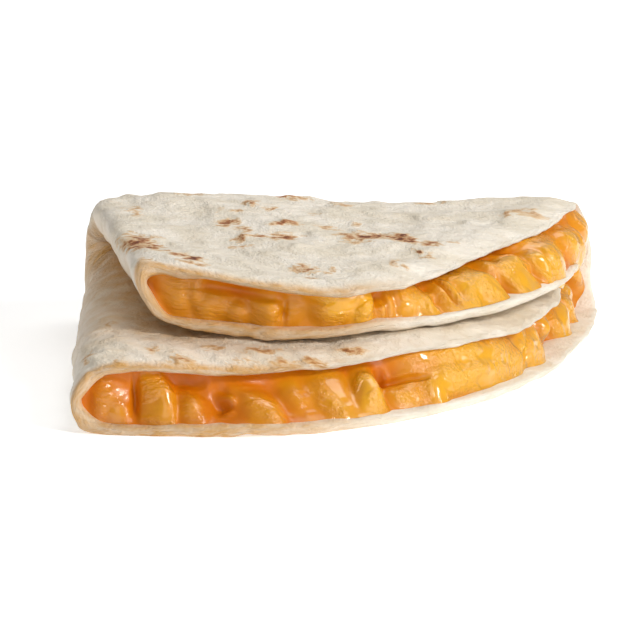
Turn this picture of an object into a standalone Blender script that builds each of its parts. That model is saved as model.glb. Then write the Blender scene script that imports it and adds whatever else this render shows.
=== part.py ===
"""A quesadilla: one flour tortilla folded twice over melted cheese, as a flat wedge.

The tortilla is thought of flat first. `across` is the distance from the first crease, plus on
the outer leaf and minus on the inner one, and `along` runs up that crease from the corner where
the two creases cross, minus on the lower flap and plus on the upper. The first fold rolls the
inner leaf over the outer one, with cheese between them. The second turns the upper flap over
the lower, so the inner leaves meet in the middle and the outer leaf wraps the back.
"""

import math

import bpy
import numpy as np

MM = 0.001

# The flat tortilla. Its radii are taken round the corner, every 22.5 degrees from the far end
# of the second crease, by way of the upper flap's outer leaf and its inner leaf. Its rim rounds
# over by a share of the sheet's thickness.
SHEET = 1.9 * MM
RIM_SWELL = 0.4
OUTLINE = (101.5, 94, 91, 94, 78, 93, 100.5, 98.5, 94, 99.5, 104, 100, 98.5, 109.5, 109.5, 104)
OUTLINE_STEP = 22.5

# The two folds: the angle between their creases, how far the second one's bend reaches back,
# and how far the folded wedge is turned in plan.
CREASE_ANGLE = 94.6
BACK_REACH = 10.0 * MM
TURN_IN_PLAN = 5.5
CORNER = (-50.05 * MM, 43.45 * MM)

# The first fold's roll. Its crease lies at these shares of the way from the outer leaf to the
# inner one, at the lower tip and at the upper. The pinches shorten the roll of the browned face
# and of the face on the cheese. The inner face makes a share of its turn at once, the sharpness,
# and the rest between these turning lengths, so that it opens like a wedge.
CREASE_SHARES = (0.41, 0.25)
OUTER_PINCH = 0.7
INNER_PINCH = 0.95
INNER_SHARPNESS = 0.5
FAST_TURN = 8.0
SECOND_TURN = (0.6, 1.5)

# Heights of the sheet's middle over the floor: at the corner, and at the open edge every
# 15 degrees from the first crease round to the second.
LOWER_CORNER = 16.5 * MM
LOWER_EDGE = (11.6, 10.3, 10.2, 11.4, 10.3, 9.9, 10.3)
TOP_CORNER = 25.3 * MM
TOP_EDGE = (26.2, 24.3, 21.8, 21.5, 22.1, 22.9, 22.8)
UPPER_LIFT = (5.1, 1.3, 0.7, 0.0, 0.0, 0.0, 0.0)
EDGE_STEP = 15.0
EDGE_REACH = 100.0 * MM
EASE_AT_CORNER = 0.35
# Beyond the open edge the heights run on for this share, and the lift a little further.
MOST_REACH = 1.15
MOST_LIFT_REACH = 1.2
# The bearing stops turning this far left of the corner.
LEFT_LIMIT = 5.0 * MM
# Half the distance between the inner leaves, in even steps along the second crease.
HALF_GAP = (1.2, 1.15, 1.2, 1.35, 1.2, 1.9, 1.5)
HALF_GAP_REACH = 95.0 * MM
# Swells of the top: distance along the second crease, distance forward of it, height, radius.
SWELLS = ((22, 8, 0.95, 18), (62, 8, -0.9, 22), (90, 6, 1.2, 14))

# The cheese stops short of the sheet's edge by these margins, on the outer and the inner leaf,
# every 22.5 degrees from the lower end of the first crease to its upper end.
OUTER_MARGIN = (3.0, 2.0, 5.0, 8.5, 8.0, 4.0, 3.0, 2.0, 3.0)
INNER_MARGIN = (3.0, 1.5, 2.0, 2.0, 2.0, 6.0, 5.0, 3.0, 3.0)
CHEESE_GAP = 0.8 * MM
CHEESE_BULGE = 1.2 * MM
LEAST_HALF_POCKET = 0.3 * MM
# The larger lumps of the open face: degrees round the corner, share of the way from the outer
# leaf to the inner one, half length, half height, how far each stands out.
LUMPS = (
    (-84, 0.45, 5, 4.0, 2.2),
    (-76, 0.50, 5, 4.5, 2.4),
    (-66, 0.35, 6, 3.5, 1.8),
    (-57, 0.50, 7, 4.0, 1.6),
    (-48, 0.45, 8, 4.5, 2.6),
    (-37, 0.60, 6, 3.5, 1.8),
    (-29, 0.40, 9, 3.5, 3.2),
    (-18, 0.65, 8, 3.5, 2.8),
    (-9, 0.45, 5, 4.0, 2.8),
    (0, 0.30, 4, 5.0, 2.2),
    (10, 0.50, 5, 6.0, 2.6),
    (19, 0.60, 6, 5.0, 2.8),
    (30, 0.50, 7, 4.5, 3.0),
    (42, 0.45, 8, 4.0, 2.4),
    (53, 0.55, 7, 4.0, 2.6),
    (64, 0.40, 7, 3.5, 1.8),
    (74, 0.55, 5, 3.0, 1.8),
    (83, 0.50, 4, 3.0, 1.8),
)

# The roll of the first fold is worked out to this many turning lengths, in this many steps.
TURNING_LENGTHS = 12.0
TURNING_STEPS = 1200

# How finely the solids are cut: sheet lines either side of a crease, sheet lines to the edge,
# and the cheese's columns, rows and rings.
CREASE_LINES = (0.0, 1.5, 3.0, 4.8, 7.2, 10.0, 13.0, 16.5)
EDGE_LINES = 11
CHEESE_COLUMNS = 84
CHEESE_ROWS = 7
# Shares of the way out from the corner, close together where the second fold turns.
CHEESE_RINGS = (0.03, 0.06, 0.1, 0.14, 0.19, 0.3, 0.5, 0.75, 1.0)


def clear_scene():
    for obj in list(bpy.data.objects):
        bpy.data.objects.remove(obj, do_unlink=True)


def cubic(before, start, end, after, share):
    """A smooth curve from start to end, with the slopes that its neighbours give it."""
    return 0.5 * (
        2 * start
        + (end - before) * share
        + (2 * before - 5 * start + 4 * end - after) * share**2
        + (3 * start - before - 3 * end + after) * share**3
    )


def through(stations, place):
    """Reads evenly spaced stations at a place from 0 to the last one, and stops at both ends."""
    values = np.asarray(stations, float)
    place = np.clip(place, 0, len(values) - 1)
    index = np.minimum(place.astype(int), len(values) - 2)
    near = [values[np.clip(index + step, 0, len(values) - 1)] for step in (-1, 0, 1, 2)]
    return cubic(*near, place - index)


def around(stations, place):
    """Reads evenly spaced stations that close into a ring."""
    values = np.asarray(stations, float)
    index = np.floor(place).astype(int)
    near = [values[(index + step) % len(values)] for step in (-1, 0, 1, 2)]
    return cubic(*near, place - index)


def outline(angle):
    """The flat tortilla's radius round the corner, at an angle in degrees."""
    return around(OUTLINE, angle / OUTLINE_STEP) * MM


def turning_profile(sharpness):
    """How far in and how far up a sheet goes as it turns through a right angle.

    A round roll turns fastest at the crease and slower away from it, by the tanh of the distance
    in turning lengths, which pinches it more than a half circle would. A sharp roll makes a share
    of its turn at once and the rest about one length on, so that it opens like a wedge.
    """
    length = np.linspace(0.0, TURNING_LENGTHS, TURNING_STEPS + 1)
    start, end = SECOND_TURN
    second = np.clip((length - start) / (end - start), 0, 1)
    slow = second**2 * (3 - 2 * second) if sharpness else np.tanh(length)
    turned = sharpness * np.tanh(FAST_TURN * length) + (1 - sharpness) * slow
    angle = math.pi / 2 * turned
    step = length[1]
    rows = []
    for part in (np.sin(angle), np.cos(angle)):
        rows.append(np.concatenate([[0.0], np.cumsum((part[1:] + part[:-1]) / 2 * step)]))
    return length, rows[0], rows[1]


OUTER_TURN = turning_profile(0.0)
INNER_TURN = turning_profile(INNER_SHARPNESS)


def roll(distance, half_height, profile):
    """The first fold: distance in from its edge, and 0 to 1 of the way up to the leaf."""
    length, turn_in, turn_up = profile
    turning = half_height / turn_up[-1]
    lengths = np.abs(distance) / turning
    beyond = np.maximum(lengths - length[-1], 0.0)
    inward = turning * (np.interp(lengths, length, turn_in) + beyond)
    return inward, np.interp(lengths, length, turn_up) / turn_up[-1]


def heights(right, forward):
    """Middle heights of the lower inner leaf and of the top leaf, half the gap, and the lift."""
    reach = np.hypot(right, forward + BACK_REACH) / EDGE_REACH
    bearing = np.degrees(np.arctan2(np.maximum(right, -LEFT_LIMIT), forward))
    station = np.clip(bearing, 0, 90) / EDGE_STEP
    eased = reach**2 * (3 - 2 * reach) * EASE_AT_CORNER + reach * (1 - EASE_AT_CORNER)
    share = np.where(reach < 1, eased, np.minimum(reach, MOST_REACH))
    lower = LOWER_CORNER + (through(LOWER_EDGE, station) * MM - LOWER_CORNER) * share
    top = TOP_CORNER + (through(TOP_EDGE, station) * MM - TOP_CORNER) * share
    for swell_right, swell_forward, height, radius in SWELLS:
        away = (right / MM - swell_right) ** 2 + (forward / MM - swell_forward) ** 2
        top = top + height * MM * np.exp(-away / radius**2)
    gap_station = np.clip(right / HALF_GAP_REACH, 0, 1) * (len(HALF_GAP) - 1)
    half_gap = through(HALF_GAP, gap_station) * MM
    lift = through(UPPER_LIFT, station) * MM * np.clip(reach, 0, MOST_LIFT_REACH) ** 2
    return lower, top, half_gap, lift


def leaves(right, round_back):
    """The second fold: (y, z) of the outer leaf's middle, then of the inner leaf's.

    round_back is the distance from the second crease along the sheet. Near it each leaf turns
    through half an ellipse round one centre line, and beyond it each runs forward.
    """
    turn = math.pi / 2 * BACK_REACH
    forward = np.maximum(np.abs(round_back) - turn, 0.0)
    angle = np.clip(round_back / turn, -1, 1) * math.pi / 2
    lower, top, half_gap, lift = heights(right, forward)
    rise, run = np.sin(angle), np.cos(angle)
    centre = lower + half_gap
    outer_height = np.where(rise < 0, centre - SHEET / 2, top - centre)
    outer = (-BACK_REACH * (1 - run) - forward, centre + rise * outer_height)
    inner_lift = np.maximum(rise, 0) * lift
    inner = (-(BACK_REACH - half_gap * run) - forward, centre + rise * half_gap + inner_lift)
    return outer, inner


def half_pocket(right, round_back):
    (outer_y, outer_z), (inner_y, inner_z) = leaves(right, round_back)
    return np.hypot(outer_y - inner_y, outer_z - inner_z) / 2


def folded(across, along, inset):
    """Where a point of the flat tortilla lies after both folds.

    inset moves it from the sheet's middle into the pocket: minus half the sheet is the browned
    outer face, plus half the sheet is the face on the cheese.
    """
    across, along = np.broadcast_arrays(across, along)
    crease = math.radians(CREASE_ANGLE)
    beside, ahead = math.sin(crease), math.cos(crease)
    half = np.maximum(half_pocket(-ahead * along, beside * along) - inset, LEAST_HALF_POCKET)
    outside = roll(across, half * OUTER_PINCH, OUTER_TURN)
    inside = roll(across, half * INNER_PINCH, INNER_TURN)
    depth = np.clip(inset / SHEET + 0.5, 0, 1)
    inward = outside[0] + (inside[0] - outside[0]) * depth + inset
    opened = outside[1] + (inside[1] - outside[1]) * depth
    right = beside * inward - ahead * along
    round_back = ahead * inward + beside * along
    (outer_y, outer_z), (inner_y, inner_z) = leaves(right, round_back)
    edge = inset / (2 * half_pocket(right, round_back))
    side = np.where(across >= 0, 1, -1)
    up_the_crease = np.clip(along / EDGE_REACH, -1, 1) / 2 + 0.5
    crease_share = CREASE_SHARES[0] + (CREASE_SHARES[1] - CREASE_SHARES[0]) * up_the_crease
    lean = np.log(crease_share) / math.log(0.5)
    share = edge + (1 - 2 * edge) * ((1 - side * opened) / 2) ** lean
    back = outer_y + (inner_y - outer_y) * share
    turn = math.radians(TURN_IN_PLAN)
    return np.stack(
        [
            right * math.cos(turn) - back * math.sin(turn) + CORNER[0],
            right * math.sin(turn) + back * math.cos(turn) + CORNER[1],
            outer_z + (inner_z - outer_z) * share,
        ],
        axis=-1,
    )


def add_object(name, points, faces, colour, roughness):
    mesh = bpy.data.meshes.new(name)
    mesh.from_pydata(points.tolist(), [], faces)
    mesh.validate()
    mesh.shade_smooth()
    obj = bpy.data.objects.new(name, mesh)
    bpy.context.scene.collection.objects.link(obj)
    material = bpy.data.materials.new(name)
    material.use_nodes = True
    shader = material.node_tree.nodes["Principled BSDF"]
    shader.inputs["Base Color"].default_value = (*colour, 1.0)
    shader.inputs["Roughness"].default_value = roughness
    shader.inputs["Metallic"].default_value = 0.0
    mesh.materials.append(material)
    return obj


def grid_lines(reach):
    """Lines from -1 to 1 across the disc, close together at the crease."""
    near = np.array(CREASE_LINES) * MM / reach
    far = np.linspace(near[-1], 1.0, EDGE_LINES + 1)[1:]
    half = np.concatenate([near, far])
    return np.concatenate([-half[:0:-1], half])


def grid_faces(count, start, flip):
    """Quads of a square grid of points, with their faces turned round where flip is set."""
    faces = []
    for row in range(count - 1):
        for column in range(count - 1):
            corner = start + row * count + column
            quad = (corner, corner + 1, corner + count + 1, corner + count)
            faces.append(quad[::-1] if flip else quad)
    return faces


def border(count):
    """The border points of a square grid, anticlockwise from its first corner."""
    last = count - 1
    bottom = list(range(last))
    right = [row * count + last for row in range(last)]
    top = [last * count + column for column in range(last, 0, -1)]
    left = [row * count for row in range(last, 0, -1)]
    return bottom + right + top + left


def make_tortilla():
    """The whole sheet: an outer face, an inner face and a rounded rim between them."""
    lines = grid_lines(outline(np.zeros(1))[0])
    count = len(lines)
    sideways, upward = np.meshgrid(lines, lines)
    # A square of lines pulled onto a disc: its sides become quarter circles.
    disc_x = sideways * np.sqrt(1 - upward**2 / 2)
    disc_y = upward * np.sqrt(1 - sideways**2 / 2)
    bearing = np.arctan2(disc_y, disc_x)
    radius = np.hypot(disc_x, disc_y) * outline(np.degrees(bearing))
    across, along = radius * np.cos(bearing), radius * np.sin(bearing)
    outer = folded(across, along, -SHEET / 2).reshape(-1, 3)
    inner = folded(across, along, SHEET / 2).reshape(-1, 3)
    rim = border(count)
    rim_bearing = bearing.reshape(-1)[rim]
    rim_radius = radius.reshape(-1)[rim] + SHEET * RIM_SWELL
    edge = folded(rim_radius * np.cos(rim_bearing), rim_radius * np.sin(rim_bearing), 0.0)
    points = np.concatenate([outer, inner, edge])
    faces = grid_faces(count, 0, True) + grid_faces(count, len(outer), False)
    first_edge = 2 * len(outer)
    for step, here in enumerate(rim):
        follow = (step + 1) % len(rim)
        there = rim[follow]
        edge_here, edge_there = first_edge + step, first_edge + follow
        faces.append((here, there, edge_there, edge_here))
        faces.append((edge_here, edge_there, len(outer) + there, len(outer) + here))
    return add_object("tortilla", points, faces, (0.80, 0.68, 0.52), 0.75)


def cheese_radius(angle):
    """How far the cheese reaches on either leaf, at an angle round the corner in degrees."""
    turned = (angle + 90) % 360 - 90
    outer_side = turned <= 90
    mirrored = np.where(outer_side, turned, 180 - turned)
    station = (mirrored + 90) / OUTLINE_STEP
    margin = np.where(outer_side, through(OUTER_MARGIN, station), through(INNER_MARGIN, station))
    return outline(angle) - margin * MM


def standing_out(angle, height_share, face_height, face_length):
    """How far the open face stands out: a soft bulge, raised to the largest lump at each point."""
    stand = CHEESE_BULGE * np.sin(math.pi * height_share)
    for lump_angle, lump_share, half_length, half_height, proud in LUMPS:
        sideways = np.radians(angle - lump_angle) * face_length / (half_length * MM)
        upward = (height_share - lump_share) * face_height / (half_height * MM)
        dome = np.sqrt(np.clip(1 - sideways**2 - upward**2, 0, 1))
        stand = np.maximum(stand, proud * MM * dome)
    return stand * np.sin(math.pi * height_share) ** 0.5


def make_cheese():
    """The filling: one slab folded with the sheet, closed by the lumpy face along the open edge."""
    angles = np.linspace(-90, 90, CHEESE_COLUMNS + 1)
    mirror = 180 - angles[1:-1][::-1]
    ring_angles = np.concatenate([angles, mirror])
    inset = SHEET / 2 + CHEESE_GAP
    radius = np.array(CHEESE_RINGS)[:, None] * cheese_radius(ring_angles)[None, :]
    bearing = np.radians(ring_angles)[None, :]
    slab = folded(radius * np.cos(bearing), radius * np.sin(bearing), inset)
    pole = folded(np.zeros(1), np.zeros(1), inset)
    points = [pole, slab.reshape(-1, 3)]
    around_count = len(ring_angles)
    faces = []
    for column in range(around_count):
        follow = (column + 1) % around_count
        faces.append((0, 1 + follow, 1 + column))
        for ring in range(len(CHEESE_RINGS) - 1):
            here, there = 1 + ring * around_count, 1 + (ring + 1) * around_count
            faces.append((here + column, here + follow, there + follow, there + column))

    # The open face: columns between the two ends, rows between the outer and the inner leaf.
    last_ring = 1 + (len(CHEESE_RINGS) - 1) * around_count
    inner_columns = np.arange(1, CHEESE_COLUMNS)
    low = slab[-1, inner_columns]
    high = slab[-1, around_count - inner_columns]
    share = np.linspace(0, 1, CHEESE_ROWS + 1)[1:-1, None]
    # Outward is square to the open edge's own run and to the line from one leaf to the other.
    outward = np.cross(np.gradient((low + high) / 2, axis=0), high - low)
    outward /= np.linalg.norm(outward, axis=1, keepdims=True)
    face_height = np.linalg.norm(high - low, axis=1)
    stand = standing_out(angles[inner_columns], share, face_height, outline(angles[inner_columns]))
    face = low + (high - low) * share[..., None] + outward * stand[..., None]
    first_face = last_ring + around_count
    points.append(face.reshape(-1, 3))

    def face_point(column, row):
        if column in (0, CHEESE_COLUMNS) or row == 0:
            return last_ring + column
        if row == CHEESE_ROWS:
            return last_ring + around_count - column
        return first_face + (row - 1) * (CHEESE_COLUMNS - 1) + column - 1

    for column in range(CHEESE_COLUMNS):
        for row in range(CHEESE_ROWS):
            quad = [
                face_point(column, row),
                face_point(column + 1, row),
                face_point(column + 1, row + 1),
                face_point(column, row + 1),
            ]
            quad = list(dict.fromkeys(quad))
            if len(quad) > 2:
                faces.append(tuple(quad))
    return add_object("cheese", np.concatenate(points), faces, (0.86, 0.30, 0.02), 0.3)


clear_scene()
make_tortilla()
make_cheese()
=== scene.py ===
"""The looks of a quesadilla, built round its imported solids.

One flour tortilla is folded twice over melted cheese. Both pieces here follow the sheet's own
folds: a place on the flat tortilla is (across, along), in metres from the corner where the two
creases cross. `across` is the distance from the first crease, plus on the outer leaf and minus
on the inner one, and `along` runs up that crease, minus on the lower flap and plus on the upper.
"""

import logging
import math
from dataclasses import dataclass
from enum import Enum
from functools import lru_cache

import bpy
import numpy as np
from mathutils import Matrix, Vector


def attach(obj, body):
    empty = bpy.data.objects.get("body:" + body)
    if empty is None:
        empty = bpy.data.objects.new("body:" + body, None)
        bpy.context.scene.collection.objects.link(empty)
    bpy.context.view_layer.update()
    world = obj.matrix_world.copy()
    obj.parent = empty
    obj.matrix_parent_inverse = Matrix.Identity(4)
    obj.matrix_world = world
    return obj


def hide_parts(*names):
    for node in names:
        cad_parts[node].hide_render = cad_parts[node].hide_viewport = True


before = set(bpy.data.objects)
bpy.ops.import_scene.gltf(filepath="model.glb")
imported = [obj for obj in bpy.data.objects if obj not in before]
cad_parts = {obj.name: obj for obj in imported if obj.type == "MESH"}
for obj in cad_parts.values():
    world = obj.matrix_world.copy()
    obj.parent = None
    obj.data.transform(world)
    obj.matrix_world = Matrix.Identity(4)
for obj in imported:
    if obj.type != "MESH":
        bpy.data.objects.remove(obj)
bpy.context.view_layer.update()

MM = 0.001
LOG = logging.getLogger("quesadilla")
Array = np.ndarray
Colour = tuple[float, float, float, float]


# ---------------------------------------------------------------- numbers, curves and noise


def linear(colour: str) -> Colour:
    """Turns an sRGB hex colour to linear light.

    Args:
        colour: Hash sign and six hex digits.

    Returns:
        Linear red, green and blue, and an alpha of one.
    """
    channels = [int(colour[start : start + 2], 16) / 255 for start in (1, 3, 5)]
    light = [c / 12.92 if c <= 0.04045 else ((c + 0.055) / 1.055) ** 2.4 for c in channels]
    return (light[0], light[1], light[2], 1.0)


def smooth(low: float, high: float, value: Array) -> Array:
    """Eases from 0 at low to 1 at high by 3t squared less 2t cubed.

    Args:
        low: Where the step starts.
        high: Where it ends.
        value: Places to read.

    Returns:
        The eased share at each place.
    """
    share = np.clip((value - low) / (high - low), 0.0, 1.0)
    return share * share * (3 - 2 * share)


def cubic(near: list[Array], share: Array) -> Array:
    """Reads the Catmull-Rom curve that runs from the second to the third of four values.

    Args:
        near: The value before, the two ends, and the value after.
        share: Place between the ends, from 0 to 1.

    Returns:
        The curve's value.
    """
    before, start, end, after = near
    bend = 2 * before - 5 * start + 4 * end - after
    twist = 3 * start - before - 3 * end + after
    return 0.5 * (2 * start + (end - before) * share + bend * share**2 + twist * share**3)


def through(stations: tuple[float, ...], place: Array) -> Array:
    """Reads evenly spaced stations as one smooth curve that stops at both ends.

    Args:
        stations: The values that the curve passes through.
        place: Where to read, from 0 to the last station's number.

    Returns:
        The curve's value at each place.
    """
    values = np.asarray(stations, float)
    place = np.clip(place, 0, len(values) - 1)
    index = np.minimum(place.astype(int), len(values) - 2)
    near = [values[np.clip(index + step, 0, len(values) - 1)] for step in (-1, 0, 1, 2)]
    return cubic(near, place - index)


def around(stations: tuple[float, ...], place: Array) -> Array:
    """Reads evenly spaced stations as one smooth curve that closes into a ring.

    Args:
        stations: The values round the ring.
        place: Where to read, in stations.

    Returns:
        The curve's value at each place.
    """
    values = np.asarray(stations, float)
    index = np.floor(place).astype(int)
    near = [values[(index + step) % len(values)] for step in (-1, 0, 1, 2)]
    return cubic(near, place - index)


def evened(rows: Array, half_width: int = 9) -> Array:
    """Averages each row with its neighbours, by a cosine window over them.

    Args:
        rows: Rows of values.
        half_width: How many neighbours each side count, and one.

    Returns:
        As many rows.
    """
    window = np.hanning(2 * half_width + 1)[1:-1] / half_width
    padded = np.pad(rows, ((half_width - 1, half_width - 1), (0, 0)), "edge")
    return np.stack([np.convolve(column, window, "valid") for column in padded.T], axis=1)


def hashed(column: Array, row: Array, seed: int) -> Array:
    """Gives each cell of a lattice its own fixed number, by multiplying and mixing its bits.

    Args:
        column: Whole-numbered columns.
        row: Whole-numbered rows.
        seed: Picks one lattice among many.

    Returns:
        Numbers from -1 to 1.
    """
    bits = (column * 73856093) ^ (row * 19349663) ^ (seed * 83492791)
    bits = (bits & 0xFFFFFFFF) * 1274126177 & 0xFFFFFFFF
    bits = (bits ^ (bits >> 15)) * 668265263 & 0xFFFFFFFF
    return ((bits ^ (bits >> 16)) & 0xFFFF) / 32767.5 - 1


def unevenness(x: Array, y: Array, size: float, seed: int, layers: int = 2) -> Array:
    """Smooth noise: fixed numbers at the corners of cells, eased between them.

    Each further layer has cells of half the size and half the height.

    Args:
        x: First coordinate.
        y: Second coordinate, in the same unit.
        size: Side of the largest cells.
        seed: Picks one pattern among many.
        layers: How many sizes are added up.

    Returns:
        Noise from about -1 to 1.
    """
    total = np.zeros(np.broadcast(x, y).shape)
    height, heights = 1.0, 0.0
    for layer in range(layers):
        across, along = x / size * 2**layer + 0.37 * layer, y / size * 2**layer + 0.71 * layer
        column, row = np.floor(across).astype(np.int64), np.floor(along).astype(np.int64)
        right, up = smooth(0, 1, across - column), smooth(0, 1, along - row)
        corners = [hashed(column + i, row + j, seed + layer) for j in (0, 1) for i in (0, 1)]
        lower = corners[0] + (corners[1] - corners[0]) * right
        upper = corners[2] + (corners[3] - corners[2]) * right
        total = total + height * (lower + (upper - lower) * up)
        heights += height
        height /= 2
    return total / heights * 1.5


# ---------------------------------------------------------------- the two folds


@lru_cache(maxsize=2)
def turning_profile(sharpness: float) -> tuple[Array, Array, Array]:
    """Works out how far in and how far up a sheet goes as it turns through a right angle.

    A round roll's tangent turns by a right angle times the tanh of the distance in turning
    lengths. A sharp roll makes a share of its turn at once and the rest about one length on, so
    that it opens like a wedge. The tangent's sine and cosine are added up along the way.

    Args:
        sharpness: The share of the turn that is made at once, or 0 for a round roll.

    Returns:
        The distances, how far in each is, and how far up.
    """
    length = np.linspace(0.0, 12.0, 2401)
    slow = smooth(0.6, 1.5, length) if sharpness else np.tanh(length)
    angle = math.pi / 2 * (sharpness * np.tanh(8 * length) + (1 - sharpness) * slow)
    sums = []
    for part in (np.sin(angle), np.cos(angle)):
        sums.append(np.concatenate([[0.0], np.cumsum((part[1:] + part[:-1]) / 2 * length[1])]))
    return length, sums[0], sums[1]


@dataclass(frozen=True)
class TwoFolds:
    """Carries places on the flat tortilla to where they lie in the folded wedge.

    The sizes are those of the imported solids. Heights are of the sheet's middle over the floor:
    at the corner, and at the open edge every 15 degrees from the first crease to the second.
    """

    sheet: float = 1.9 * MM
    outline_mm: tuple[float, ...] = (
        101.5, 94, 91, 94, 78, 93, 100.5, 98.5, 94, 99.5, 104, 100, 98.5, 109.5, 109.5, 104,
    )  # fmt: skip
    crease_angle: float = 94.6
    back_reach: float = 10.0 * MM
    turn_in_plan: float = 5.5
    corner: tuple[float, float] = (-50.05 * MM, 43.45 * MM)
    lower_corner: float = 16.5 * MM
    lower_edge: tuple[float, ...] = (11.6, 10.3, 10.2, 11.4, 10.3, 9.9, 10.3)
    top_corner: float = 25.3 * MM
    top_edge: tuple[float, ...] = (26.2, 24.3, 21.8, 21.5, 22.1, 22.9, 22.8)
    upper_lift: tuple[float, ...] = (5.1, 1.3, 0.7, 0.0, 0.0, 0.0, 0.0)
    crease_shares: tuple[float, float] = (0.41, 0.25)
    outer_pinch: float = 0.7
    inner_pinch: float = 0.95
    inner_sharpness: float = 0.5
    edge_step: float = 15.0
    edge_reach: float = 100.0 * MM
    ease_at_corner: float = 0.35
    half_gaps: tuple[float, ...] = (1.2, 1.15, 1.2, 1.35, 1.2, 1.9, 1.5)
    half_gap_reach: float = 95.0 * MM
    swells: tuple[tuple[float, float, float, float], ...] = (
        (22, 8, 0.95, 18),
        (62, 8, -0.9, 22),
        (90, 6, 1.2, 14),
    )

    def outline(self, bearing: Array) -> Array:
        """Reads the flat tortilla's radius round the corner, as a closed smooth curve.

        Args:
            bearing: Degrees round the corner, from the right-hand end of the second crease.

        Returns:
            Radii in metres.
        """
        return around(self.outline_mm, bearing / (360 / len(self.outline_mm))) * MM

    def roll(self, distance: Array, half_height: Array, sharpness: float) -> tuple[Array, Array]:
        """Rolls a leaf over at the first fold, by the turning profile.

        Args:
            distance: Distance from the first crease along the sheet.
            half_height: Half the height of the roll.
            sharpness: The share of the turn that is made at once, or 0 for a round roll.

        Returns:
            Distance in from the roll's edge, and 0 to 1 of the way up to the leaf.
        """
        length, inward, upward = turning_profile(sharpness)
        turning = half_height / upward[-1]
        lengths = np.abs(distance) / turning
        beyond = np.maximum(lengths - length[-1], 0.0)
        reach = turning * (np.interp(lengths, length, inward) + beyond)
        return reach, np.interp(lengths, length, upward) / upward[-1]

    def heights(self, right: Array, forward: Array) -> tuple[Array, Array, Array, Array]:
        """Reads the wedge's heights, between those at the corner and those at the open edge.

        Args:
            right: Distance along the second crease.
            forward: Distance in front of it.

        Returns:
            Middle heights of the lower inner leaf and the top leaf, half the gap, and the lift.
        """
        reach = np.hypot(right, forward + self.back_reach) / self.edge_reach
        bearing = np.degrees(np.arctan2(np.maximum(right, -5 * MM), forward))
        station = np.clip(bearing, 0, 90) / self.edge_step
        ease = self.ease_at_corner
        eased = reach**2 * (3 - 2 * reach) * ease + reach * (1 - ease)
        share = np.where(reach < 1, eased, np.minimum(reach, 1.15))
        lower_edge = through(self.lower_edge, station) * MM
        lower = self.lower_corner + (lower_edge - self.lower_corner) * share
        top = self.top_corner + (through(self.top_edge, station) * MM - self.top_corner) * share
        for swell_right, swell_forward, height, radius in self.swells:
            away = (right / MM - swell_right) ** 2 + (forward / MM - swell_forward) ** 2
            top = top + height * MM * np.exp(-away / radius**2)
        gap_station = np.clip(right / self.half_gap_reach, 0, 1) * (len(self.half_gaps) - 1)
        half_gap = through(self.half_gaps, gap_station) * MM
        lift = through(self.upper_lift, station) * MM * np.clip(reach, 0, 1.2) ** 2
        return lower, top, half_gap, lift

    def leaves(self, right: Array, round_back: Array) -> tuple[tuple[Array, Array], ...]:
        """Bends both leaves through half an ellipse at the second fold, then runs them forward.

        Args:
            right: Distance along the second crease.
            round_back: Distance from that crease along the sheet.

        Returns:
            (y, z) of the outer leaf's middle, then of the inner leaf's.
        """
        turn = math.pi / 2 * self.back_reach
        forward = np.maximum(np.abs(round_back) - turn, 0.0)
        angle = np.clip(round_back / turn, -1, 1) * math.pi / 2
        lower, top, half_gap, lift = self.heights(right, forward)
        rise, run = np.sin(angle), np.cos(angle)
        centre = lower + half_gap
        outer_height = np.where(rise < 0, centre - self.sheet / 2, top - centre)
        outer = (-self.back_reach * (1 - run) - forward, centre + rise * outer_height)
        inner_y = -(self.back_reach - half_gap * run) - forward
        return outer, (inner_y, centre + rise * half_gap + np.maximum(rise, 0) * lift)

    def half_pocket(self, right: Array, round_back: Array) -> Array:
        """Half the distance between the two leaves, at one place along and round the wedge."""
        (outer_y, outer_z), (inner_y, inner_z) = self.leaves(right, round_back)
        return np.hypot(outer_y - inner_y, outer_z - inner_z) / 2

    def place(self, across: Array, along: Array, inset: Array) -> Array:
        """Carries places on the flat tortilla to the folded wedge.

        Args:
            across: Distance from the first crease, plus on the outer leaf.
            along: Distance up the first crease, plus on the upper flap.
            inset: Distance from the sheet's middle into the pocket that the cheese fills.

        Returns:
            Points, in a last axis of three.
        """
        across, along, inset = np.broadcast_arrays(across, along, inset)
        crease = math.radians(self.crease_angle)
        beside, ahead = math.sin(crease), math.cos(crease)
        half = np.maximum(self.half_pocket(-ahead * along, beside * along) - inset, 0.3 * MM)
        depth = smooth(-self.sheet / 2, self.sheet / 2, inset)
        outside = self.roll(across, half * self.outer_pinch, 0.0)
        inside = self.roll(across, half * self.inner_pinch, self.inner_sharpness)
        inward = outside[0] + (inside[0] - outside[0]) * depth + inset
        opened = outside[1] + (inside[1] - outside[1]) * depth
        right = beside * inward - ahead * along
        round_back = ahead * inward + beside * along
        (outer_y, outer_z), (inner_y, inner_z) = self.leaves(right, round_back)
        edge = inset / (2 * self.half_pocket(right, round_back))
        # The crease lies nearer the outer leaf: a power of the share moves it there.
        lower_share, upper_share = self.crease_shares
        up_the_crease = np.clip(along / self.edge_reach, -1, 1) / 2 + 0.5
        crease_share = lower_share + (upper_share - lower_share) * up_the_crease
        lean = np.log(crease_share) / math.log(0.5)
        turned = ((1 - np.where(across >= 0, 1, -1) * opened) / 2) ** lean
        share = edge + (1 - 2 * edge) * turned
        back = outer_y + (inner_y - outer_y) * share
        turn = math.radians(self.turn_in_plan)
        return np.stack(
            [
                right * math.cos(turn) - back * math.sin(turn) + self.corner[0],
                right * math.sin(turn) + back * math.cos(turn) + self.corner[1],
                outer_z + (inner_z - outer_z) * share,
            ],
            axis=-1,
        )


FOLDS = TwoFolds()


# ---------------------------------------------------------------- meshes


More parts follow.
